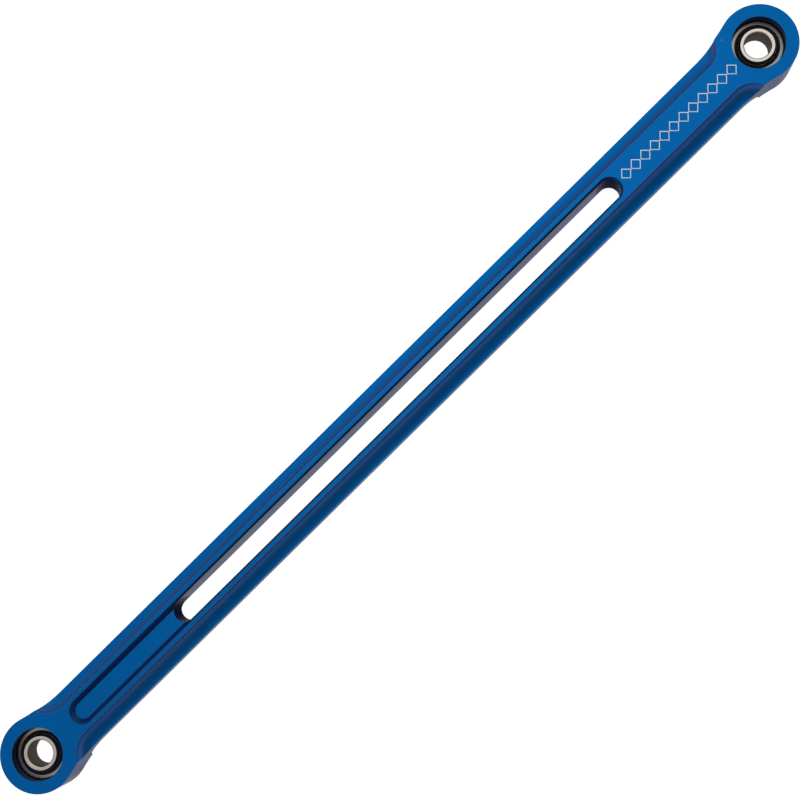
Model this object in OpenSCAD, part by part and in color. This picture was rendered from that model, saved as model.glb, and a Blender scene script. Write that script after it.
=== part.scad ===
// Billet link rod: the drop link between an anti-roll bar's arm and the suspension, also used as a linkage rod.
// A bar machined from aluminium plate carries a spherical plain bearing pressed into the eye at each end.
// The bar lies along X, the bearing bores run along Z, and the front face, with the marked end at +X, is +Z.
// The origin is midway between the two eyes, at half the bar's thickness. All sizes are millimetres.

/* [Bar] */
// Distance between the two eye centres
eye_spacing = 304.8; // [240:0.1:420]
// Thickness of the plate that the bar is cut from
bar_t = 12.7; // [12:0.1:16]
// Width of the straight part of the bar
bar_w = 19.05; // [18:0.05:22]
// Diameter of the round boss at each eye
head_d = 23.7; // [22.5:0.1:28]
// Radius of the hollow curve that blends a boss into the bar
neck_r = 50.8; // [30:0.1:80]

/* [Edge coves] */
// Width of the flat land left between the coves
land_w = 10.4; // [9.6:0.1:12]
// Radius of a cove, which is also its depth below the face
cove_r = 4.3; // [3:0.1:4.6]
// Diameter of the round-nosed cutter that leaves the coves' round ends
cove_cutter_d = 15.9; // [12:0.1:20]
// Distance along the bar from an eye centre to the centre of a cove's round end
cove_start = 15.5; // [15:0.1:40]

/* [Pocket and slot] */
// Width of the shallow pocket at the face
pocket_w = 8; // [7.4:0.1:9]
// Depth of the pocket below the face
pocket_depth = 1.8; // [1.6:0.1:3]
// Width of the pocket's floor, which its sloping wall leaves
pocket_floor_w = 5.2; // [4:0.1:6.4]
// Distance from the left eye centre to the centre of the pocket's round end
pocket_start = 19; // [17:0.1:60]
// Width of the slot through the bar
slot_w = 6.8; // [5:0.1:7.2]
// Distance from each eye centre to the centre of the slot's round end
slot_margin = 62.3; // [60.5:0.1:110]

/* [Eyes] */
// Diameter of the hole through the shoulder that a race is pressed against
shoulder_d = 14.4; // [13.6:0.1:15.2]
// Size of the chamfer round the mouth of an eye
eye_chamfer = 0.35; // [0.1:0.05:0.8]

/* [Spherical bearings] */
// Bore through a ball, for the bolt
bore_d = 8; // [6:0.1:8.4]
// Diameter of a ball's sphere
ball_d = 13; // [12.6:0.1:13.2]
// Width of a ball between its two end faces
ball_w = 8; // [7:0.1:8.6]
// Chamfer at each end of a ball's bore
bore_chamfer = 0.25; // [0.1:0.05:0.4]
// Outer diameter of a race
race_d = 16; // [15.9:0.1:17.5]
// Width of a race
race_w = 5; // [4.6:0.1:6]
// Chamfer on a race's outer edges
race_chamfer = 0.3; // [0.1:0.05:0.5]
// How far a liner's edge lies below a race's face
liner_setback = 0.4; // [0.2:0.05:0.8]
// Thickness of a liner
liner_t = 0.5; // [0.3:0.05:0.6]
// Radial running gap on each side of a liner
liner_gap = 0.04; // [0.02:0.01:0.08]

/* [Hidden] */
$fn = 96;

left = -1;
right = 1;
eye_x = eye_spacing / 2;
face_z = bar_t / 2;
// How far a cutter starts and ends outside the metal
clear = 1;

// The hollow blend touches the boss and the bar's straight edge
neck_y = bar_w / 2 + neck_r;
neck_dx = sqrt(pow(neck_r + head_d / 2, 2) - pow(neck_y, 2));
neck_touch_y = head_d / 2 * neck_y / (neck_r + head_d / 2);

cove_y = land_w / 2 + cove_cutter_d / 2;
cove_end_x = eye_x - cove_start;
slot_end_x = eye_x - slot_margin;
pocket_end_x = -eye_x + pocket_start;

ball_r = ball_d / 2;
liner_in_r = ball_r + liner_gap;
liner_out_r = liner_in_r + liner_t;
race_in_r = liner_out_r + liner_gap;
liner_half_w = race_w / 2 - liner_setback;
// Radius of a race's spherical seat at the liner's edge, and of the seat's mouth at the race's face
seat_edge_r = sqrt(pow(race_in_r, 2) - pow(liner_half_w, 2));
seat_mouth_r = seat_edge_r + liner_gap / 2;

// Shape seen from above: two bosses, the straight bar and the hollow blends between them
module bar_outline() {
  square([eye_spacing, bar_w], center = true);
  for (side = [left, right]) {
    translate([side * eye_x, 0]) circle(d = head_d);
    difference() {
      translate([side * (eye_x - neck_dx / 2), 0])
        square([neck_dx, 2 * neck_touch_y], center = true);
      for (y = [-neck_y, neck_y])
        translate([side * (eye_x - neck_dx), y]) circle(r = neck_r, $fn = 360);
    }
  }
}

// Half the shape of a round-nosed cutter, with its axis at x = 0 and the metal's face at y = 0
module cutter_half(r, corner_r, depth) {
  translate([0, corner_r - depth]) square([r, depth - corner_r + clear]);
  translate([0, -depth]) square([r - corner_r, depth + clear]);
  intersection() {
    translate([r - corner_r, corner_r - depth]) circle(r = corner_r);
    translate([0, -depth]) square([r, depth]);
  }
}

// Half the shape of a tapered cutter, with its axis at x = 0 and the metal's face at y = 0
module tapered_half(face_r, floor_r, depth) {
  widening = (face_r - floor_r) / depth * clear;
  polygon([[0, -depth], [floor_r, -depth], [face_r + widening, clear], [0, clear]]);
}

// Path of a cutter that travels along X between two points in the front face. The child is half the cutter's shape.
module cutter_path(from_x, to_x, y) {
  translate([from_x, y, face_z]) {
    for (x = [0, to_x - from_x])
      translate([x, 0, 0]) rotate_extrude() children();
    rotate([90, 0, 90])
      linear_extrude(to_x - from_x) {
        children();
        mirror([1, 0]) children();
      }
  }
}

// What is cut from the front face: a cove along each edge and the shallow pocket
module face_cuts() {
  for (side = [left, right])
    cutter_path(-cove_end_x, cove_end_x, side * cove_y)
      cutter_half(cove_cutter_d / 2, cove_r, cove_r);
  cutter_path(pocket_end_x, slot_end_x, 0)
    tapered_half(pocket_w / 2, pocket_floor_w / 2, pocket_depth);
}

// Slot through the whole thickness, with round ends
module slot_cut() {
  for (x = [-slot_end_x, slot_end_x])
    translate([x, 0, 0]) cylinder(d = slot_w, h = bar_t + 2 * clear, center = true);
  cube([2 * slot_end_x, slot_w, bar_t + 2 * clear], center = true);
}

// Stepped bore of an eye: the race's seat, open to the front, and the smaller hole through its shoulder
module eye_cut() {
  translate([0, 0, -race_w / 2]) cylinder(d = race_d, h = race_w / 2 + face_z + clear);
  cylinder(d = shoulder_d, h = bar_t + 2 * clear, center = true);
  translate([0, 0, face_z - eye_chamfer])
    cylinder(r1 = race_d / 2, r2 = race_d / 2 + eye_chamfer + clear, h = eye_chamfer + clear);
  translate([0, 0, -face_z - clear])
    cylinder(r1 = shoulder_d / 2 + eye_chamfer + clear, r2 = shoulder_d / 2, h = eye_chamfer + clear);
}

module link_bar() {
  color([0.02, 0.34, 0.62])
  difference() {
    linear_extrude(bar_t, center = true) bar_outline();
    face_cuts();
    mirror([0, 0, 1]) face_cuts();
    slot_cut();
    for (side = [left, right])
      translate([side * eye_x, 0, 0]) eye_cut();
  }
}

// Hardened ring with a spherical seat, chamfered outside and at the mouths of the seat
module outer_race() {
  color([0.55, 0.55, 0.57])
  rotate_extrude()
  difference() {
    polygon([
      [0, -race_w / 2],
      [race_d / 2 - race_chamfer, -race_w / 2],
      [race_d / 2, -race_w / 2 + race_chamfer],
      [race_d / 2, race_w / 2 - race_chamfer],
      [race_d / 2 - race_chamfer, race_w / 2],
      [0, race_w / 2]
    ]);
    circle(r = race_in_r);
    for (s = [-1, 1])
      polygon([
        [0, s * liner_half_w],
        [seat_edge_r, s * liner_half_w],
        [seat_mouth_r, s * race_w / 2],
        [seat_mouth_r, s * (race_w / 2 + clear)],
        [0, s * (race_w / 2 + clear)]
      ]);
  }
}

// Thin dry-running ring between the race and the ball
module liner() {
  color([0.12, 0.09, 0.08])
  rotate_extrude()
  intersection() {
    difference() {
      circle(r = liner_out_r);
      circle(r = liner_in_r);
    }
    translate([0, -liner_half_w]) square([liner_out_r + clear, 2 * liner_half_w]);
  }
}

// Ball with two flat ends and a chamfered bore
module ball() {
  color([0.86, 0.85, 0.82])
  rotate_extrude()
  difference() {
    intersection() {
      circle(r = ball_r);
      translate([0, -ball_w / 2]) square([ball_r + clear, ball_w]);
    }
    translate([-clear, -ball_w / 2 - clear]) square([bore_d / 2 + clear, ball_w + 2 * clear]);
    for (s = [-1, 1])
      polygon([
        [0, s * (ball_w / 2 - bore_chamfer)],
        [bore_d / 2, s * (ball_w / 2 - bore_chamfer)],
        [bore_d / 2 + bore_chamfer + clear, s * (ball_w / 2 + clear)],
        [0, s * (ball_w / 2 + clear)]
      ]);
  }
}

// Moves a bearing piece to one of the two eyes
module at_eye(side) {
  translate([side * eye_x, 0, 0]) children();
}

link_bar();
at_eye(left) outer_race();  // left_outer_race
at_eye(left) liner();  // left_liner
at_eye(left) ball();  // left_ball
at_eye(right) outer_race();  // right_outer_race
at_eye(right) liner();  // right_liner
at_eye(right) ball();  // right_ball
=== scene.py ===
# %% [markdown]
# # A billet link rod, milled and anodised in Blender
#
# This notebook dresses a link rod: a blue anodised aluminium bar with a spherical bearing pressed into
# the eye at each end. The CAD frame already holds every size and joint. Each piece below is made in the
# frame's own metres, so it drops straight onto its place.
#
# The frame is loaded first.

# %% Load the fixed frame
import math

import bpy
from mathutils import Matrix, Vector


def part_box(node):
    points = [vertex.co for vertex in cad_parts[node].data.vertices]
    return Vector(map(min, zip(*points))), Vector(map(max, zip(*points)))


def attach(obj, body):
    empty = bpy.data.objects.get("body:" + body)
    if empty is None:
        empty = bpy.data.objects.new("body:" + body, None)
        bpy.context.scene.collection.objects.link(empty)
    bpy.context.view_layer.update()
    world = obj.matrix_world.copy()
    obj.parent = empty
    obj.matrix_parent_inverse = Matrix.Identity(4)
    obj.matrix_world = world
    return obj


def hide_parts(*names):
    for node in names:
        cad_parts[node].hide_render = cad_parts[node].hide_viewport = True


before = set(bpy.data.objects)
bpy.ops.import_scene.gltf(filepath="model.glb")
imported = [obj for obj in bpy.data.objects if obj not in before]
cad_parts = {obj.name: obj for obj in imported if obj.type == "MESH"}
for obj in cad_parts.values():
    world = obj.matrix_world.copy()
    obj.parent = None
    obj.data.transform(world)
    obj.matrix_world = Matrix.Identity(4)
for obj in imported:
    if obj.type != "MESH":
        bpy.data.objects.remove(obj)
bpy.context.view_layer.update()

# %% [markdown]
# ## Sizes
#
# What can be measured on the frame is measured there. The rest are the sizes of the cutters and of the
# bearing, in millimetres, as a machinist would have them on the drawing.

# %% Sizes measured on the frame, and the cutters' own sizes
MM = 0.001

bar_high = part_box("link_bar")[1]
race_low, race_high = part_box("right_outer_race")

FACE_Z = bar_high.z
EYE_X = (race_low.x + race_high.x) / 2
BOSS_R = bar_high.x - EYE_X
RACE_R = (race_high.y - race_low.y) / 2
RACE_HALF_W = race_high.z
BALL_HALF_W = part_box("right_ball")[1].z

BAR_W = 19.05 * MM
NECK_R = 50.8 * MM
SHOULDER_R = 7.2 * MM
COVE = {"radius": 7.95 * MM, "corner": 4.3 * MM, "start": 15.5 * MM, "land": 10.4 * MM}
POCKET = {"width": 8 * MM, "floor width": 5.2 * MM, "depth": 1.8 * MM, "start": 19 * MM}
SLOT = {"radius": 3.4 * MM, "margin": 62.3 * MM}
EDGE_BREAK = 0.22 * MM
print(f"eyes at x = ±{EYE_X / MM:.1f} mm, boss radius {BOSS_R / MM:.2f} mm")
print(f"the bar is {2 * FACE_Z / MM:.1f} mm thick")

# %% [markdown]
# ## One helper for every node tree
#
# Geometry trees and material trees are both just nodes with values and links. One small function adds a
# node, sets its options, and fills each input with a number or with another node's output.

# %% The helper that adds a node, and the colour converter
def add(tree, kind, inputs=None, **options):
    """Adds a node. inputs maps an input's name or number to a value, a socket, or a list of sockets."""
    node = tree.nodes.new(kind)
    for name, value in options.items():
        setattr(node, name, value)
    for key, value in (inputs or {}).items():
        for item in value if isinstance(value, list) else [value]:
            if isinstance(item, bpy.types.NodeSocket):
                tree.links.new(item, node.inputs[key])
            else:
                node.inputs[key].default_value = item
    return node


def linear(hex_colour):
    """An sRGB hex colour as the linear RGBA that Blender's sockets want."""
    parts = [int(hex_colour[i : i + 2], 16) / 255 for i in (1, 3, 5)]
    return (*[c / 12.92 if c <= 0.04045 else ((c + 0.055) / 1.055) ** 2.4 for c in parts], 1)


print("anodised blue in linear light:", [round(c, 3) for c in linear("#0A5AA0")])

# %% [markdown]
# ## The blank
#
# A real rod starts as a profile sawn from plate: two round bosses, a straight bar, and a hollow curve
# between them. The outline repeats four times, so only one quarter is worked out, from the middle of the
# bar to the tip of a boss, and the other three are mirror images. The blank could come from a union of
# cylinders and boxes, but one clean outline gives the cleanest faces to cut.

# %% The outline and the blank
def quarter_outline(boss_steps=48, neck_steps=14):
    """Points from the bar's straight edge, round the hollow neck and the boss, to the tip on the X axis."""
    neck_y = BAR_W / 2 + NECK_R
    neck_dx = math.sqrt((NECK_R + BOSS_R) ** 2 - neck_y**2)
    bend = math.atan2(neck_dx, neck_y)
    neck = [(-math.pi / 2 + bend * i / neck_steps) for i in range(neck_steps)]
    boss = [(math.pi / 2 + bend) * (1 - i / boss_steps) for i in range(boss_steps + 1)]
    points = [(EYE_X - neck_dx + NECK_R * math.cos(a), neck_y + NECK_R * math.sin(a)) for a in neck]
    return points + [(EYE_X + BOSS_R * math.cos(a), BOSS_R * math.sin(a)) for a in boss]


def bar_outline():
    """The whole outline, anticlockwise from the right tip."""
    out = quarter_outline()
    back = out[::-1]
    left_up = [(-x, y) for x, y in out]
    left_down = [(-x, -y) for x, y in back]
    right_down = [(x, -y) for x, y in out]
    return back + left_up[:-1] + left_down + right_down[:-1]


def blank_mesh(name):
    """A closed plate of the bar's thickness, with one flat face above and one below."""
    outline = bar_outline()
    count = len(outline)
    verts = [(x, y, z) for z in (-FACE_Z, FACE_Z) for x, y in outline]
    sides = [(i, (i + 1) % count, count + (i + 1) % count, count + i) for i in range(count)]
    faces = [tuple(range(count))[::-1], tuple(range(count, 2 * count)), *sides]
    mesh = bpy.data.meshes.new(name)
    mesh.from_pydata(verts, [], faces)
    return mesh


blank = blank_mesh("link_bar_milled")
print(f"blank outline has {len(blank.vertices) // 2} points")

# %% [markdown]
# ## The cutter, as a Geometry Nodes group
#
# Every hollow in the bar is left by a round cutter that plunges in and travels along X: a round-nosed one
# for the coves, a tapered one for the pocket, a square one for the slot, and one that doesn't travel for
# the eyes. So one node group makes them all. It bends a plain cylinder: each ring of points gets the
# radius and the height of the cutter at its level, and the two halves are moved apart by the travel.

# %% The node group that sweeps a cutter
ROUND_SIDES = 96
CUTTER_SIZES = ("Travel", "Radius", "Corner Radius", "Taper", "Depth", "Clear")


def cutter_group(round_steps):
    """A cutter's swept volume, from its nose at -Depth up to Clear. Taper is its widening per metre up."""
    tree = bpy.data.node_groups.new(f"swept_cutter_{round_steps}", "GeometryNodeTree")
    for name in CUTTER_SIZES:
        tree.interface.new_socket(name, in_out="INPUT", socket_type="NodeSocketFloat")
    tree.interface.new_socket("Cutter", in_out="OUTPUT", socket_type="NodeSocketGeometry")
    size = tree.nodes.new("NodeGroupInput").outputs

    barrel = {"Vertices": ROUND_SIDES, "Side Segments": round_steps + 1, "Radius": 1.0, "Depth": 1.0}
    body = add(tree, "GeometryNodeMeshCylinder", barrel)
    # Turned by half a side, so that no point lies on the line where the two halves part
    half_side = {"Geometry": body.outputs["Mesh"], "Rotation": (0, 0, math.pi / ROUND_SIDES)}
    turned = add(tree, "GeometryNodeTransform", half_side)
    place = add(tree, "ShaderNodeSeparateXYZ", {0: add(tree, "GeometryNodeInputPosition").outputs[0]}).outputs

    # Each row is a name and the sum behind it. A word stands for an input or for a row above.
    value = {name: size[name] for name in CUTTER_SIZES}
    value.update({"unit x": place["X"], "unit y": place["Y"], "unit z": place["Z"]})
    sums = (
        ("unit height", "ADD", "unit z", 0.5),
        ("level", "MULTIPLY", "unit height", round_steps + 1),
        ("part of corner", "DIVIDE", "level", max(round_steps, 1)),
        ("in corner", "MINIMUM", "part of corner", 1.0),
        ("turn", "MULTIPLY", "in corner", math.pi / 2),
        ("cosine", "COSINE", "turn", 0.0),
        ("sine", "SINE", "turn", 0.0),
        ("corner height", "SUBTRACT", 1.0, "cosine"),
        ("rise", "MULTIPLY", "Corner Radius", "corner height"),
        ("nose z", "SUBTRACT", "rise", "Depth"),
        ("at top", "GREATER_THAN", "level", round_steps + 0.5),
        ("shank", "SUBTRACT", "Clear", "nose z"),
        ("shank at top", "MULTIPLY", "at top", "shank"),
        ("z", "ADD", "nose z", "shank at top"),
        ("flat radius", "SUBTRACT", "Radius", "Corner Radius"),
        ("corner width", "MULTIPLY", "Corner Radius", "sine"),
        ("straight radius", "ADD", "flat radius", "corner width"),
        ("above nose", "ADD", "z", "Depth"),
        ("widening", "MULTIPLY", "Taper", "above nose"),
        ("ring radius", "ADD", "straight radius", "widening"),
        ("half travel", "MULTIPLY", "Travel", 0.5),
        ("which half", "SIGN", "unit x", 0.0),
        ("shift", "MULTIPLY", "which half", "half travel"),
        ("unshifted x", "MULTIPLY", "unit x", "ring radius"),
        ("x", "ADD", "unshifted x", "shift"),
        ("y", "MULTIPLY", "unit y", "ring radius"),
    )
    for name, operation, a, b in sums:
        terms = {0: value.get(a, a), 1: value.get(b, b)}
        value[name] = add(tree, "ShaderNodeMath", terms, operation=operation, label=name).outputs[0]
    spot = add(tree, "ShaderNodeCombineXYZ", {"X": value["x"], "Y": value["y"], "Z": value["z"]})
    moved = {"Geometry": turned.outputs[0], "Position": spot.outputs[0]}
    swept = add(tree, "GeometryNodeSetPosition", moved)
    add(tree, "NodeGroupOutput", {"Cutter": swept.outputs[0]})
    return tree


round_nosed = cutter_group(round_steps=20)
square_nosed = cutter_group(round_steps=0)
print("cutter groups:", round_nosed.name, square_nosed.name)

# %% [markdown]
# ## Milling the bar
#
# The tree does what the milling machine does: it takes the blank and cuts away the four coves, the pocket
# on each face, the slot and the stepped eyes. Booleans of swept cutters are the honest way to shape a
# machined part, because each corner is then exactly where two cuts meet. The tree's inputs carry names
# and sizes, so the same tree makes a longer bar. It ends by giving each face the finish its cut leaves.
# Level faces, the pocket's floor among them, are blasted. The coves and the pocket's sloping wall show
# the cutter, with painted shade up the coves' steep sides. Upright faces have a finish of their own, a
# slate grey that is painted reflection, with painted shade at the slot's ends.

# %% The three finishes of the bar, filled in further down
finish_names = ("anodised_blasted_face", "anodised_milled_hollow", "anodised_upright_wall")
blasted, milled, upright_wall = (bpy.data.materials.new(name) for name in finish_names)
print("finishes:", finish_names)

# %% The milling tree
# How far a cutter stands out of the metal
CLEAR = 1 * MM
MERGE_WITHIN = 0.002 * MM
# How much of a face's normal points up or down
LEVEL_IF_OVER = 0.9996
UPRIGHT_IF_UNDER = 0.01
milling_sizes = {
    "Face Height": FACE_Z,
    "Eye Distance": EYE_X,
    "Cove Cutter Radius": COVE["radius"],
    "Cove Corner Radius": COVE["corner"],
    "Cove Start": COVE["start"],
    "Land Width": COVE["land"],
    "Pocket Width": POCKET["width"],
    "Pocket Floor Width": POCKET["floor width"],
    "Pocket Depth": POCKET["depth"],
    "Pocket Start": POCKET["start"],
    "Slot Radius": SLOT["radius"],
    "Slot Margin": SLOT["margin"],
    "Race Radius": RACE_R,
    "Race Half Width": RACE_HALF_W,
    "Shoulder Radius": SHOULDER_R,
}


def milling_tree():
    """The tree that mills the blank, and a map from each input's name to its identifier."""
    tree = bpy.data.node_groups.new("mill_link_bar", "GeometryNodeTree")
    tree.interface.new_socket("Blank", in_out="INPUT", socket_type="NodeSocketGeometry")
    number = {"in_out": "INPUT", "socket_type": "NodeSocketFloat"}
    sockets = {name: tree.interface.new_socket(name, **number) for name in milling_sizes}
    tree.interface.new_socket("Bar", in_out="OUTPUT", socket_type="NodeSocketGeometry")
    size = tree.nodes.new("NodeGroupInput").outputs

    # Each row is a name and the sum behind it. A word stands for an input or for a row above.
    value = {name: size[name] for name in milling_sizes}
    sums = (
        ("half land", "MULTIPLY", "Land Width", 0.5),
        ("cove y", "ADD", "half land", "Cove Cutter Radius"),
        ("other cove y", "MULTIPLY", "cove y", -1.0),
        ("cove end", "SUBTRACT", "Eye Distance", "Cove Start"),
        ("cove travel", "MULTIPLY", "cove end", 2.0),
        ("slot end", "SUBTRACT", "Eye Distance", "Slot Margin"),
        ("slot travel", "MULTIPLY", "slot end", 2.0),
        ("pocket end", "SUBTRACT", "Pocket Start", "Eye Distance"),
        ("pocket travel", "SUBTRACT", "slot end", "pocket end"),
        ("both pocket ends", "ADD", "slot end", "pocket end"),
        ("pocket x", "MULTIPLY", "both pocket ends", 0.5),
        ("pocket floor radius", "MULTIPLY", "Pocket Floor Width", 0.5),
        ("pocket face radius", "MULTIPLY", "Pocket Width", 0.5),
        ("wall run", "SUBTRACT", "pocket face radius", "pocket floor radius"),
        ("wall taper", "DIVIDE", "wall run", "Pocket Depth"),
        ("right through", "MULTIPLY", "Face Height", 3.0),
        ("seat depth", "ADD", "Face Height", "Race Half Width"),
        ("left eye x", "MULTIPLY", "Eye Distance", -1.0),
    )
    for name, operation, a, b in sums:
        terms = {0: value.get(a, a), 1: value.get(b, b)}
        value[name] = add(tree, "ShaderNodeMath", terms, operation=operation, label=name).outputs[0]

    def cut(group, travel, radius, depth, x, y, corner=0.0, taper=0.0):
        """One cutter plunged from the front face, with the middle of its travel at x, y."""
        wanted = {"Travel": travel, "Radius": radius, "Corner Radius": corner, "Taper": taper, "Depth": depth}
        sizes = {name: value.get(term, term) for name, term in wanted.items()}
        cutter = add(tree, "GeometryNodeGroup", {**sizes, "Clear": CLEAR}, node_tree=group)
        middle = {"X": value.get(x, x), "Y": value.get(y, y), "Z": size["Face Height"]}
        spot = add(tree, "ShaderNodeCombineXYZ", middle)
        placed = {"Geometry": cutter.outputs[0], "Translation": spot.outputs[0]}
        return add(tree, "GeometryNodeTransform", placed).outputs[0]

    corner = "Cove Corner Radius"
    coves = [
        cut(round_nosed, "cove travel", "Cove Cutter Radius", corner, 0.0, y, corner=corner)
        for y in ("cove y", "other cove y")
    ]
    floor_r, depth = "pocket floor radius", "Pocket Depth"
    pocket = cut(square_nosed, "pocket travel", floor_r, depth, "pocket x", 0.0, taper="wall taper")
    front = add(tree, "GeometryNodeJoinGeometry", {0: [*coves, pocket]}).outputs[0]
    turned_over = {"Geometry": front, "Rotation": (math.pi, 0, 0)}
    back = add(tree, "GeometryNodeTransform", turned_over).outputs[0]
    slot = cut(square_nosed, "slot travel", "Slot Radius", "right through", 0.0, 0.0)
    cuts = [front, back, slot]
    for eye_x in ("Eye Distance", "left eye x"):
        cuts.append(cut(square_nosed, 0.0, "Race Radius", "seat depth", eye_x, 0.0))
        cuts.append(cut(square_nosed, 0.0, "Shoulder Radius", "right through", eye_x, 0.0))
    bar = add(
        tree,
        "GeometryNodeMeshBoolean",
        {"Mesh 1": size["Blank"], "Mesh 2": cuts},
        operation="DIFFERENCE",
        solver="EXACT",
    ).outputs["Mesh"]
    whole = add(tree, "GeometryNodeRealizeInstances", {"Geometry": bar}).outputs[0]
    close = {"Geometry": whole, "Distance": MERGE_WITHIN}
    merged = add(tree, "GeometryNodeMergeByDistance", close).outputs[0]

    normal = add(tree, "ShaderNodeSeparateXYZ", {0: add(tree, "GeometryNodeInputNormal").outputs[0]}).outputs
    facing_up = add(tree, "ShaderNodeMath", {0: normal["Z"]}, operation="ABSOLUTE").outputs[0]
    over = {0: facing_up, 1: LEVEL_IF_OVER}
    level = add(tree, "ShaderNodeMath", over, operation="GREATER_THAN").outputs[0]
    under = {0: facing_up, 1: UPRIGHT_IF_UNDER}
    upright = add(tree, "ShaderNodeMath", under, operation="LESS_THAN").outputs[0]
    finished = merged
    for where, finish in ((True, milled), (level, blasted), (upright, upright_wall)):
        dressed = {"Geometry": finished, "Selection": where, "Material": finish}
        finished = add(tree, "GeometryNodeSetMaterial", dressed).outputs[0]
    add(tree, "NodeGroupOutput", {0: finished})
    return tree, {name: socket.identifier for name, socket in sockets.items()}


mill_bar, size_id = milling_tree()
print(f"milling tree has {len(mill_bar.nodes)} nodes and {len(size_id)} sizes")

# %% Mill the blank and break its edges
def finished_mesh(source, name):
    """An object's evaluated shape as a plain mesh, with no empty material slots. The object is removed."""
    depsgraph = bpy.context.evaluated_depsgraph_get()
    mesh = bpy.data.meshes.new_from_object(source.evaluated_get(depsgraph), depsgraph=depsgraph)
    mesh.name = name
    for slot in reversed(range(len(mesh.materials))):
        if mesh.materials[slot] is None:
            mesh.materials.pop(index=slot)
    source.modifiers.clear()
    bpy.data.objects.remove(source)
    return mesh


def new_object(name, mesh):
    """An object at the origin, unturned and unscaled, in the scene."""
    obj = bpy.data.objects.new(name, mesh)
    bpy.context.scene.collection.objects.link(obj)
    return obj


SHARP_OVER = math.radians(28)


def break_edges(obj, width, segments=3):
    """Rounds each sharp edge by that width and keeps the flat faces looking flat."""
    bevel = obj.modifiers.new("edge_break", "BEVEL")
    bevel.width = width
    bevel.segments = segments
    bevel.limit_method = "ANGLE"
    bevel.angle_limit = SHARP_OVER
    bevel.harden_normals = True
    weighted = obj.modifiers.new("flats_stay_flat", "WEIGHTED_NORMAL")
    weighted.keep_sharp = True


stock = new_object("blank", blank)
milling = stock.modifiers.new("milling", "NODES")
milling.node_group = mill_bar
for name, value in milling_sizes.items():
    milling[size_id[name]] = value
break_edges(stock, EDGE_BREAK)
link_bar = new_object("link_bar_milled", finished_mesh(stock, "link_bar_milled"))
print(f"milled bar: {len(link_bar.data.polygons)} faces")
print("its finishes:", [finish.name for finish in link_bar.data.materials])

# %% [markdown]
# ## The bearings
#
# Each eye holds three turned rings: a steel race with a hollow spherical seat, a thin dry liner, and a
# ball with flat ends and a bore. All three are lathe work, so one function turns a half section round the
# bore's axis. The sections below are drawn in radius and height, with each arc worked out from its
# radius.

# %% The lathe
LATHE_STEPS = 144


def lathe(name, section, centre_x):
    """A solid turned about the upright axis at centre_x. section is a closed list of (radius, height)."""
    count = len(section)
    verts, faces = [], []
    for i in range(LATHE_STEPS):
        turn = 2 * math.pi * i / LATHE_STEPS
        verts += [(centre_x + r * math.cos(turn), r * math.sin(turn), z) for r, z in section]
    for i in range(LATHE_STEPS):
        here, there = i * count, (i + 1) % LATHE_STEPS * count
        for j in range(count):
            k = (j + 1) % count
            faces.append((here + j, there + j, there + k, here + k))
    mesh = bpy.data.meshes.new(name)
    mesh.from_pydata(verts, [], faces)
    mesh.shade_smooth()
    return mesh


def ball_arc(radius, low_z, high_z, steps=28):
    """Points on a sphere's section from low_z up to high_z."""
    low, high = math.asin(low_z / radius), math.asin(high_z / radius)
    angles = [low + (high - low) * i / steps for i in range(steps + 1)]
    return [(radius * math.cos(a), radius * math.sin(a)) for a in angles]


print(f"a lathe ring has {LATHE_STEPS} steps")

# %% The sections of race, liner and ball
BALL_R = 6.5 * MM
BORE_R = 4 * MM
BORE_CHAMFER = 0.25 * MM
LINER_T = 0.5 * MM
GAP = 0.04 * MM
LINER_HALF_W = RACE_HALF_W - 0.4 * MM
RACE_CHAMFER = 0.3 * MM


def race_section():
    """The steel ring, with its spherical seat and its chamfered edges."""
    seat = ball_arc(BALL_R + LINER_T + 2 * GAP, -LINER_HALF_W, LINER_HALF_W)
    mouth = seat[0][0] + GAP / 2
    outside = [
        (mouth, RACE_HALF_W),
        (RACE_R - RACE_CHAMFER, RACE_HALF_W),
        (RACE_R, RACE_HALF_W - RACE_CHAMFER),
        (RACE_R, RACE_CHAMFER - RACE_HALF_W),
        (RACE_R - RACE_CHAMFER, -RACE_HALF_W),
        (mouth, -RACE_HALF_W),
    ]
    return (seat + outside)[::-1]


def liner_section():
    """The thin ring between two spheres, a gap away from the ball and from the seat."""
    inner = ball_arc(BALL_R + GAP, -LINER_HALF_W, LINER_HALF_W)
    outer = ball_arc(BALL_R + GAP + LINER_T, -LINER_HALF_W, LINER_HALF_W)
    return outer + inner[::-1]


def ball_section():
    """The sphere with two flat ends, and the chamfered bore."""
    end = BALL_HALF_W - BORE_CHAMFER
    mouth = BORE_R + BORE_CHAMFER
    bore = [(mouth, BALL_HALF_W), (BORE_R, end), (BORE_R, -end), (mouth, -BALL_HALF_W)]
    return ball_arc(BALL_R, -BALL_HALF_W, BALL_HALF_W) + bore


# The bore's finish is dark with painted shade.
bearing_finishes = ("turned_race_steel", "woven_dry_liner", "ground_ball_chrome", "bore_with_painted_shade")
race_steel, liner_cloth, ball_chrome, shaded_bore = (bpy.data.materials.new(name) for name in bearing_finishes)
# A section, its finish and the width of its edge break
rings = {
    "outer_race": (race_section(), race_steel, 0.06 * MM),
    "liner": (liner_section(), liner_cloth, 0.03 * MM),
    "ball": (ball_section(), ball_chrome, 0.08 * MM),
}
print({name: len(section) for name, (section, _, _) in rings.items()}, "points in each section")

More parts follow.
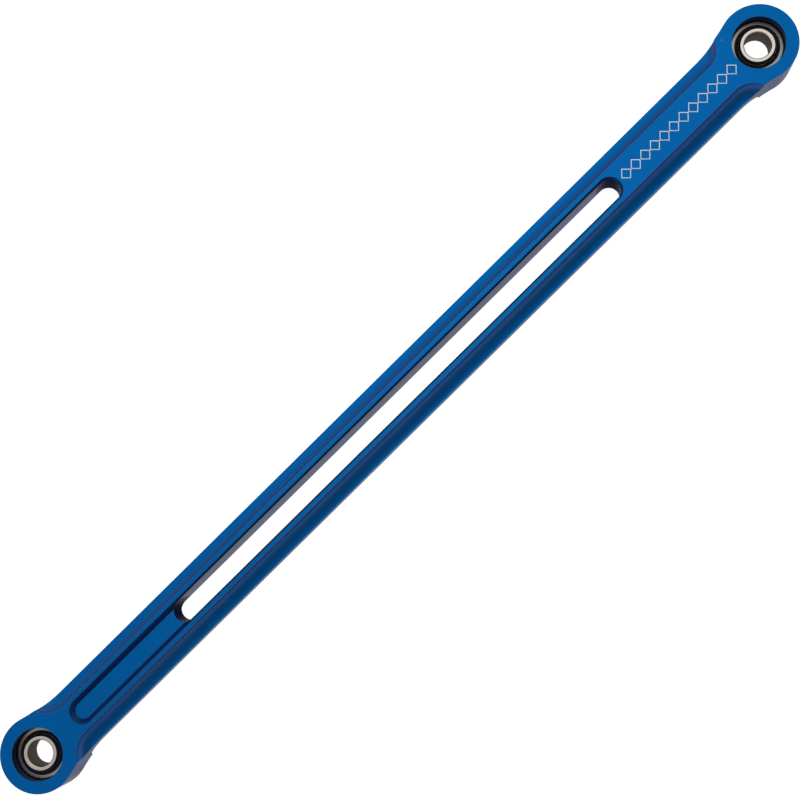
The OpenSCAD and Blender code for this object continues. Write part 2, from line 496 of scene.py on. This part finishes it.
# %% Turn the six rings
bearing_pieces = {}
for side, eye_x in (("left", -EYE_X), ("right", EYE_X)):
    for part, (section, finish, edge) in rings.items():
        node = f"{side}_{part}"
        turned = new_object("turning", lathe(node, section, eye_x))
        turned.data.materials.append(finish)
        if part == "ball":
            # The bore's faces take the finish with painted shade.
            turned.data.materials.append(shaded_bore)
            for face in turned.data.polygons:
                off_axis = math.hypot(face.center.x - eye_x, face.center.y)
                face.material_index = int(off_axis < BORE_R)
        break_edges(turned, edge, segments=2)
        bearing_pieces[node] = new_object(f"{node}_turned", finished_mesh(turned, f"{node}_turned"))
print("turned:", sorted(bearing_pieces))

# %% [markdown]
# ## The laser mark
#
# The land at the right end carries a light etched mark. A plain row of diamonds stands for it here: it
# says nothing and belongs to nobody. One diamond is drawn once, and Geometry Nodes sets it out along a
# line, because that is what instancing is for. Each line is a very shallow bead, so that it stays crisp
# at any distance.

# %% The row of diamonds
MARK = {
    "Diamond Length": 3.7 * MM,
    "Diamond Height": 3.8 * MM,
    "Pitch": 4 * MM,
    "Line Width": 0.36 * MM,
}
MARK_COUNT = 12
MARK_CENTRE_X = 119 * MM
MARK_PROUD = 0.01 * MM


def mark_tree(finish):
    """The tree for a row of diamonds along X, and a map from each input's name to its identifier."""
    tree = bpy.data.node_groups.new("row_of_diamonds", "GeometryNodeTree")
    number = {"in_out": "INPUT", "socket_type": "NodeSocketFloat"}
    sockets = {name: tree.interface.new_socket(name, **number) for name in MARK}
    tree.interface.new_socket("Mark", in_out="OUTPUT", socket_type="NodeSocketGeometry")
    size = tree.nodes.new("NodeGroupInput").outputs
    halving = {0: size["Diamond Height"], 1: 0.5}
    half = add(tree, "ShaderNodeMath", halving, operation="MULTIPLY").outputs[0]
    shape = {"Width": size["Diamond Length"], "Bottom Height": half, "Top Height": half}
    diamond = add(tree, "GeometryNodeCurvePrimitiveQuadrilateral", shape, mode="KITE")
    section = {"Width": size["Line Width"], "Height": 2 * MARK_PROUD}
    bead = add(tree, "GeometryNodeCurvePrimitiveQuadrilateral", section)
    drawn = {"Curve": diamond.outputs[0], "Profile Curve": bead.outputs[0]}
    line = add(tree, "GeometryNodeCurveToMesh", drawn)
    step = add(tree, "ShaderNodeCombineXYZ", {"X": size["Pitch"]})
    spots = add(tree, "GeometryNodeMeshLine", {"Count": MARK_COUNT, "Offset": step.outputs[0]})
    row = add(tree, "GeometryNodeInstanceOnPoints", {"Points": spots.outputs[0], "Instance": line.outputs[0]})
    whole = add(tree, "GeometryNodeRealizeInstances", {"Geometry": row.outputs[0]})
    inked = add(tree, "GeometryNodeSetMaterial", {"Geometry": whole.outputs[0], "Material": finish})
    add(tree, "NodeGroupOutput", {0: inked.outputs[0]})
    return tree, {name: socket.identifier for name, socket in sockets.items()}


laser_mark = bpy.data.materials.new("laser_etched_mark")
row_of_diamonds, mark_id = mark_tree(laser_mark)
holder = new_object("mark_row", bpy.data.meshes.new("mark_row"))
row = holder.modifiers.new("row", "NODES")
row.node_group = row_of_diamonds
for name, value in MARK.items():
    row[mark_id[name]] = value
mark_mesh = finished_mesh(holder, "etched_mark")
half_row = (MARK_COUNT - 1) * MARK["Pitch"] / 2
mark_mesh.transform(Matrix.Translation((MARK_CENTRE_X - half_row, 0, FACE_Z)))
etched_mark = new_object("etched_mark", mark_mesh)
print(f"mark: {MARK_COUNT} diamonds over {MARK_COUNT * MARK['Pitch'] / MM:.0f} mm")

# %% [markdown]
# ## The anodised finishes
#
# Anodising grows a hard clear oxide on aluminium and fills it with dye, so the metal's own reflection is
# seen through blue. That makes it a coloured metal: metallic 1, a saturated base colour, and a roughness
# set by what the surface was before the bath. The bar is given three such surfaces: flats that look bead
# blasted, hollows with the cutter's fine lines, and upright walls cut with the side of a cutter. At a
# shallow angle they look grey, which the edge tint and a little sheen give. On the upright walls that grey
# is also a painted reflection, set in their slate base colour.
#
# Two tones are painted shade: slate up the steep sides of the coves, and dark ends in the slot. Paint
# stays when the light moves, which a reflection doesn't, so they fit the light set up below best.

# %% Turn on a finish
# A Mix node's sockets share their names, so its two colours and its mixed colour go by number.
COLOUR_A, COLOUR_B, MIXED = 6, 7, 2


def finish_nodes(material, **constants):
    """Sets the shader's constants, and returns the tree, the shader and the position on the piece."""
    material.use_nodes = True
    tree = material.node_tree
    shader = tree.nodes["Principled BSDF"]
    for name, value in constants.items():
        shader.inputs[name.replace("_", " ")].default_value = value
    return tree, shader, add(tree, "ShaderNodeTexCoord").outputs["Object"]


def per_metre(size_mm):
    """The scale that makes a noise's grain about that many millimetres wide."""
    return 1 / (size_mm * MM)


print(f"a 0.5 mm grain has the scale {per_metre(0.5):.0f}")

# %% Distance from an upright axis
def from_axis(tree, place, axis_x):
    """A point's distance from the upright axis at axis_x or -axis_x, whichever is on its side, in metres."""
    axes = add(tree, "ShaderNodeSeparateXYZ", {0: place}).outputs
    along = add(tree, "ShaderNodeMath", {0: axes["X"]}, operation="ABSOLUTE")
    offset = add(tree, "ShaderNodeMath", {0: along.outputs[0], 1: axis_x}, operation="SUBTRACT")
    flat = add(tree, "ShaderNodeCombineXYZ", {"X": offset.outputs[0], "Y": axes["Y"]})
    return add(tree, "ShaderNodeVectorMath", {0: flat.outputs[0]}, operation="LENGTH").outputs["Value"]


print(f"eye axes at x = ±{EYE_X / MM:.1f} mm, slot ends at x = ±{(EYE_X - SLOT['margin']) / MM:.1f} mm")

# %% Bead-blasted anodised flats
def blasted_finish():
    """Satin blue with a fine even grain, a slow change of the dye's depth, and a few pale specks of dust."""
    tree, shader, place = finish_nodes(
        blasted, Metallic=1.0, Specular_Tint=linear("#A0A0A8"), Sheen_Weight=0.12, Sheen_Roughness=0.3
    )
    dye = add(tree, "ShaderNodeTexNoise", {"Vector": place, "Scale": per_metre(16), "Detail": 2.0})
    blue = add(
        tree,
        "ShaderNodeMix",
        {"Factor": dye.outputs[0], COLOUR_A: linear("#085EA6"), COLOUR_B: linear("#0866B2")},
        data_type="RGBA",
    )
    # A real blasted grain is near 0.08 mm. It is drawn at 0.35 mm, so that it shows at all.
    grain = add(tree, "ShaderNodeTexNoise", {"Vector": place, "Scale": per_metre(0.35), "Detail": 3.0})
    rough = add(tree, "ShaderNodeMapRange", {"Value": grain.outputs[0], "To Min": 0.33, "To Max": 0.41})
    bump = add(tree, "ShaderNodeBump", {"Strength": 0.25, "Distance": 0.004 * MM, "Height": grain.outputs[0]})
    specks = add(tree, "ShaderNodeTexNoise", {"Vector": place, "Scale": per_metre(0.9), "Detail": 0.0})
    # Only the noise's rare peaks are dust.
    peaks = {"Value": specks.outputs[0], "From Min": 0.86, "From Max": 0.9}
    only_peaks = add(tree, "ShaderNodeMapRange", peaks)
    dusty = add(
        tree,
        "ShaderNodeMix",
        {"Factor": only_peaks.outputs[0], COLOUR_A: blue.outputs[MIXED], COLOUR_B: linear("#5C8FC0")},
        data_type="RGBA",
    )
    tree.links.new(dusty.outputs[MIXED], shader.inputs["Base Color"])
    tree.links.new(rough.outputs[0], shader.inputs["Roughness"])
    tree.links.new(bump.outputs[0], shader.inputs["Normal"])


blasted_finish()
print("blasted flats:", len(blasted.node_tree.nodes), "nodes")

# %% Milled anodised hollows
# Over this height above a cove's foot the colour goes over to slate. The slate is painted shade and its
# tone is matched: it stands in for the darker light that the steep side reflects, and is not the dye.
SLATE_SHADE_RISE = 1.55 * MM


def milled_finish():
    """The same dye over the cutter's fine lines, with painted shade in slate up the steep side."""
    tree, shader, place = finish_nodes(
        milled, Metallic=1.0, Specular_Tint=linear("#A0A0A8"), Sheen_Weight=0.4, Sheen_Roughness=0.3
    )
    # The lines are 0.3 mm apart and run on for centimetres.
    lines_scale = (per_metre(30), per_metre(0.3), per_metre(0.3))
    stretched = add(tree, "ShaderNodeMapping", {"Vector": place, "Scale": lines_scale})
    lines = add(tree, "ShaderNodeTexNoise", {"Vector": stretched.outputs[0], "Scale": 1.0, "Detail": 2.0})
    blue = add(
        tree,
        "ShaderNodeMix",
        {"Factor": lines.outputs[0], COLOUR_A: linear("#005AA0"), COLOUR_B: linear("#0062AC")},
        data_type="RGBA",
    )
    # A cove is level at its foot and upright at its top, so the height tells how steep it is.
    height = add(tree, "ShaderNodeSeparateXYZ", {0: place}).outputs["Z"]
    from_middle = add(tree, "ShaderNodeMath", {0: height}, operation="ABSOLUTE")
    cove_foot = FACE_Z - COVE["corner"]
    climb = {"Value": from_middle.outputs[0], "From Min": cove_foot, "From Max": cove_foot + SLATE_SHADE_RISE}
    painted_steep_shade = add(tree, "ShaderNodeMapRange", climb)
    # Up the steep side the blue goes over to slate, as painted shade.
    slate_shade = add(
        tree,
        "ShaderNodeMix",
        {"Factor": painted_steep_shade.outputs[0], COLOUR_A: blue.outputs[MIXED], COLOUR_B: linear("#244F88")},
        data_type="RGBA",
    )
    rough = add(tree, "ShaderNodeMapRange", {"Value": lines.outputs[0], "To Min": 0.36, "To Max": 0.46})
    bump = add(tree, "ShaderNodeBump", {"Strength": 0.3, "Distance": 0.006 * MM, "Height": lines.outputs[0]})
    tree.links.new(slate_shade.outputs[MIXED], shader.inputs["Base Color"])
    tree.links.new(rough.outputs[0], shader.inputs["Roughness"])
    tree.links.new(bump.outputs[0], shader.inputs["Normal"])


milled_finish()
print("milled hollows:", len(milled.node_tree.nodes), "nodes")

# %% Upright anodised walls
# The slate grey is a painted reflection of the pale floor, which the walls mirror almost edge on. It is
# matched at a shallow angle only. Seen square on, a real wall is bluer.
# The dark ends are painted shade, faded out over this distance, where the slot's ends lie in shade.
SLOT_END_SHADE_FADE = 1 * MM


def upright_finish():
    """Walls cut with a cutter's side, lined along their length, in a slate grey that is painted reflection,
    with painted shade at the slot's ends.
    """
    tree, shader, place = finish_nodes(upright_wall, Metallic=1.0)
    # The lines are 0.4 mm apart in height.
    lines_scale = (per_metre(9), per_metre(9), per_metre(0.4))
    stretched = add(tree, "ShaderNodeMapping", {"Vector": place, "Scale": lines_scale})
    lines = add(tree, "ShaderNodeTexNoise", {"Vector": stretched.outputs[0], "Scale": 1.0, "Detail": 2.0})
    # These slate greys are a painted reflection of the pale floor, not the dye's own blue.
    blue = add(
        tree,
        "ShaderNodeMix",
        {"Factor": lines.outputs[0], COLOUR_A: linear("#343A56"), COLOUR_B: linear("#3E4664")},
        data_type="RGBA",
    )
    # Painted shade: near the slot's ends the base colour and the edge tint go darker.
    from_slot_end = from_axis(tree, place, EYE_X - SLOT["margin"])
    edge = SLOT["radius"]
    fading = {"Value": from_slot_end, "From Min": edge, "From Max": edge + SLOT_END_SHADE_FADE}
    painted_end_shade = add(tree, "ShaderNodeMapRange", {**fading, "To Min": 1.0, "To Max": 0.0})
    for socket, light, dark in (
        ("Base Color", blue.outputs[MIXED], linear("#262632")),
        ("Specular Tint", linear("#C8CCD8"), linear("#9896A4")),
    ):
        both = {"Factor": painted_end_shade.outputs[0], COLOUR_A: light, COLOUR_B: dark}
        mixed = add(tree, "ShaderNodeMix", both, data_type="RGBA")
        tree.links.new(mixed.outputs[MIXED], shader.inputs[socket])
    rough = add(tree, "ShaderNodeMapRange", {"Value": lines.outputs[0], "To Min": 0.3, "To Max": 0.4})
    bump = add(tree, "ShaderNodeBump", {"Strength": 0.3, "Distance": 0.006 * MM, "Height": lines.outputs[0]})
    tree.links.new(rough.outputs[0], shader.inputs["Roughness"])
    tree.links.new(bump.outputs[0], shader.inputs["Normal"])


upright_finish()
print("upright walls:", len(upright_wall.node_tree.nodes), "nodes")

# %% [markdown]
# ## The bearing's finishes
#
# Hardened steel, hard chrome and a dark bore are three greys that differ in colour and gloss. The metals
# are what such bearings are usually made of. The bore's dark tone is painted shade, and matched. Turned
# and ground surfaces have marks that run round the bore, so the rings come from the distance to the eye's
# axis.

# %% Steel and chrome with turning marks
def ringed_metal(material, dark, light, smoothest, roughest, ring_mm, depth_mm, **constants):
    """A metal whose colour, gloss and height change from ring to ring round the eye's axis."""
    tree, shader, place = finish_nodes(material, Metallic=1.0, **constants)
    radius = from_axis(tree, place, EYE_X)
    rings = add(
        tree,
        "ShaderNodeTexNoise",
        {"W": radius, "Scale": per_metre(ring_mm), "Detail": 2.0},
        noise_dimensions="1D",
    )
    grey = add(
        tree,
        "ShaderNodeMix",
        {"Factor": rings.outputs[0], COLOUR_A: linear(dark), COLOUR_B: linear(light)},
        data_type="RGBA",
    )
    gloss = {"Value": rings.outputs[0], "To Min": smoothest, "To Max": roughest}
    rough = add(tree, "ShaderNodeMapRange", gloss)
    ridges = {"Strength": 0.3, "Distance": depth_mm * MM, "Height": rings.outputs[0]}
    bump = add(tree, "ShaderNodeBump", ridges)
    tree.links.new(grey.outputs[MIXED], shader.inputs["Base Color"])
    tree.links.new(rough.outputs[0], shader.inputs["Roughness"])
    tree.links.new(bump.outputs[0], shader.inputs["Normal"])


# Turned and hardened bearing steel: mid grey, satin, with rings 0.25 mm apart
ringed_metal(race_steel, "#8C8A88", "#A6A4A2", 0.24, 0.36, 0.25, 0.004)
# Hard chrome over ground steel: pale, slightly warm, nearly a mirror
ringed_metal(ball_chrome, "#BFBAB2", "#CEC9C1", 0.12, 0.2, 0.2, 0.002)
# The bore is a satin whose dark brown-grey is painted shade, matched
ringed_metal(shaded_bore, "#4C4844", "#5A5650", 0.4, 0.55, 0.3, 0.004, Specular_Tint=linear("#B4B0AC"))
print("bearing finishes:", [m.name for m in (race_steel, ball_chrome, shaded_bore)])

# %% The dry liner and the etched mark
# A wave texture turns through this angle in one unit of a straight band
WAVE_RADIANS = 20


def liner_finish():
    """A woven fabric soaked in dark resin: near black, matt, with a fine cross weave."""
    tree, shader, place = finish_nodes(liner_cloth, Roughness=0.65, Specular_IOR_Level=0.3)
    # Real threads are near 0.25 mm apart. They are drawn as two crossing sets of ridges some 1.6 mm apart,
    # so that they can show at all.
    threads = {"Vector": place, "Scale": 2 * math.pi * per_metre(1.57) / WAVE_RADIANS}
    across = add(tree, "ShaderNodeTexWave", threads, bands_direction="DIAGONAL")
    around = add(tree, "ShaderNodeTexWave", threads, bands_direction="Z")
    weave = add(tree, "ShaderNodeMath", {0: across.outputs[1], 1: around.outputs[1]}, operation="MULTIPLY")
    thread = add(
        tree,
        "ShaderNodeMix",
        {"Factor": weave.outputs[0], COLOUR_A: linear("#0B0A0A"), COLOUR_B: linear("#1C1917")},
        data_type="RGBA",
    )
    bump = add(tree, "ShaderNodeBump", {"Strength": 0.4, "Distance": 0.02 * MM, "Height": weave.outputs[0]})
    tree.links.new(thread.outputs[MIXED], shader.inputs["Base Color"])
    tree.links.new(bump.outputs[0], shader.inputs["Normal"])


def mark_finish():
    """Where the laser has burned the dye away, the oxide is left pale grey and matt."""
    tree, shader, place = finish_nodes(laser_mark, Roughness=0.5, Specular_IOR_Level=0.4)
    burn = add(tree, "ShaderNodeTexNoise", {"Vector": place, "Scale": per_metre(0.4), "Detail": 2.0})
    pale = add(
        tree,
        "ShaderNodeMix",
        {"Factor": burn.outputs[0], COLOUR_A: linear("#E6E9EE"), COLOUR_B: linear("#FFFFFF")},
        data_type="RGBA",
    )
    tree.links.new(pale.outputs[MIXED], shader.inputs["Base Color"])


liner_finish()
mark_finish()
print("liner and mark finished")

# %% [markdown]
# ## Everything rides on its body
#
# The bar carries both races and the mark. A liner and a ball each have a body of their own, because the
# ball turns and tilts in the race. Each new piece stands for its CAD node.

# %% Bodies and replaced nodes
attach(link_bar, "bar")
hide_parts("link_bar")
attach(etched_mark, "bar")
for node, piece in bearing_pieces.items():
    part = node.split("_", 1)[1]
    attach(piece, "bar" if part == "outer_race" else node)
    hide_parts(node)
print("riding:", ["link_bar", "etched_mark", *bearing_pieces])

# %% [markdown]
# ## Floor, light and camera
#
# The rod lies on a sheet of opal acrylic that glows faintly, so the ground is pale and the slot stays
# bright. The upright walls are seen almost edge on, so they mirror that sheet and look grey, and their
# base colour paints that grey in as well. A softbox hangs above, behind and to the right, and the light
# falls off toward the left eye. The room is lighter behind than in front: a metal shows what it reflects,
# so this is what shades the hollows, together with the slate painted up the coves' steep sides.

# %% The floor
HALF_FLOOR = 3.0
# A hair below the rod, so that the floor and the back face don't share a plane
FLOOR_Z = -FACE_Z - 0.05 * MM
floor_corners = [(-1, -1), (1, -1), (1, 1), (-1, 1)]
floor_mesh = bpy.data.meshes.new("opal_floor")
floor_verts = [(x * HALF_FLOOR, y * HALF_FLOOR, FLOOR_Z) for x, y in floor_corners]
floor_mesh.from_pydata(floor_verts, [], [(0, 1, 2, 3)])
floor = new_object("opal_floor", floor_mesh)
opal = bpy.data.materials.new("opal_acrylic")
finish_nodes(
    opal,
    Base_Color=linear("#9A9A9A"),
    Roughness=0.7,
    Emission_Color=linear("#FFFFFF"),
    Emission_Strength=0.95,
)
floor_mesh.materials.append(opal)
print("floor top at z =", FLOOR_Z)

# %% The light
def softbox(name, place, aim, width, height, radiance, tint):
    """A rectangular light of that size in metres, facing its aim, with the same brightness all over."""
    lamp = bpy.data.lights.new(name, "AREA")
    lamp.shape = "RECTANGLE"
    lamp.size = width
    lamp.size_y = height
    lamp.energy = radiance * math.pi * width * height
    lamp.color = linear(tint)[:3]
    obj = new_object(name, lamp)
    facing = (Vector(place) - Vector(aim)).to_track_quat("Z", "Y").to_matrix().to_4x4()
    obj.matrix_world = Matrix.Translation(place) @ facing
    return obj


def room_light():
    """A grey room, darker in front of the rod and lighter behind it."""
    world = bpy.data.worlds.new("studio_room")
    world.use_nodes = True
    tree = world.node_tree
    facing = add(tree, "ShaderNodeTexCoord").outputs["Generated"]
    axes = add(tree, "ShaderNodeSeparateXYZ", {0: facing}).outputs
    sweep = {"Value": axes["Y"], "From Min": -0.6, "From Max": 0.5, "To Min": 0.36, "To Max": 0.8}
    level = add(tree, "ShaderNodeMapRange", sweep, interpolation_type="SMOOTHSTEP")
    background = tree.nodes["Background"]
    background.inputs["Color"].default_value = linear("#FFFDFA")
    tree.links.new(level.outputs[0], background.inputs["Strength"])
    return world


softbox(
    "overhead_softbox",
    place=(0.19, 0.6, 0.9),
    aim=(0.19, 0.6, 0),
    width=0.66,
    height=1.4,
    radiance=0.57,
    tint="#FFFCF6",
)
bpy.context.scene.world = room_light()

# %% The camera
CAMERA_PLACE = Vector((10, -60, 421.35)) * MM
CAMERA_AIM = Vector((1.24 * MM, -0.7 * MM, FACE_Z))
ROLL = math.radians(44.62)
SENSOR_MM = 36
LENS_MM = 62.8
camera_data = bpy.data.cameras.new("camera")
camera_data.sensor_width = SENSOR_MM
camera_data.lens = LENS_MM
camera_data.clip_start = 10 * MM
camera = new_object("camera", camera_data)
back = (CAMERA_PLACE - CAMERA_AIM).normalized()
across = back.cross(Vector((1, 0, 0))).normalized()
along = across.cross(back)
right = math.cos(ROLL) * along - math.sin(ROLL) * across
up = math.sin(ROLL) * along + math.cos(ROLL) * across
camera.matrix_world = Matrix.Translation(CAMERA_PLACE) @ Matrix((right, up, back)).transposed().to_4x4()
bpy.context.scene.camera = camera
bpy.context.scene.view_settings.view_transform = "Standard"
print("camera", round((CAMERA_PLACE - CAMERA_AIM).length, 3), "m away")
